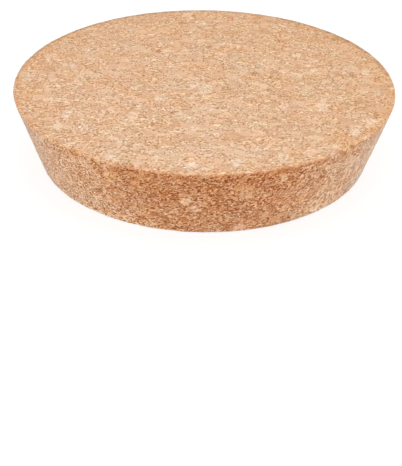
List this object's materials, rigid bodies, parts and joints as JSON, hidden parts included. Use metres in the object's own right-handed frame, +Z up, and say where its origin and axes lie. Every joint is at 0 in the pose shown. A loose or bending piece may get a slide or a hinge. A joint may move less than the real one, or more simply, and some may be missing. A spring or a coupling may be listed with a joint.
{
  "type": "cork stopper",
  "caption": "Round tapered stopper of agglomerated cork: a flat disc, wider at the top, that plugs a wide round jar mouth by its taper.",
  "frame": {"origin": "centre of the narrow bottom face", "axes": "+Z up along the axis of the taper, from the narrow face to the wide face; +X and +Y are any two square directions, since the form is round"},
  "size_m": [0.1016, 0.1016, 0.02],
  "materials": {
    "agglomerated_cork": "matte sanded cork granules, light tan on the faces and a browner tan on the ground wall"
  },
  "bodies": {
    "root": {"stopper": "agglomerated_cork"}
  },
  "joints": []
}
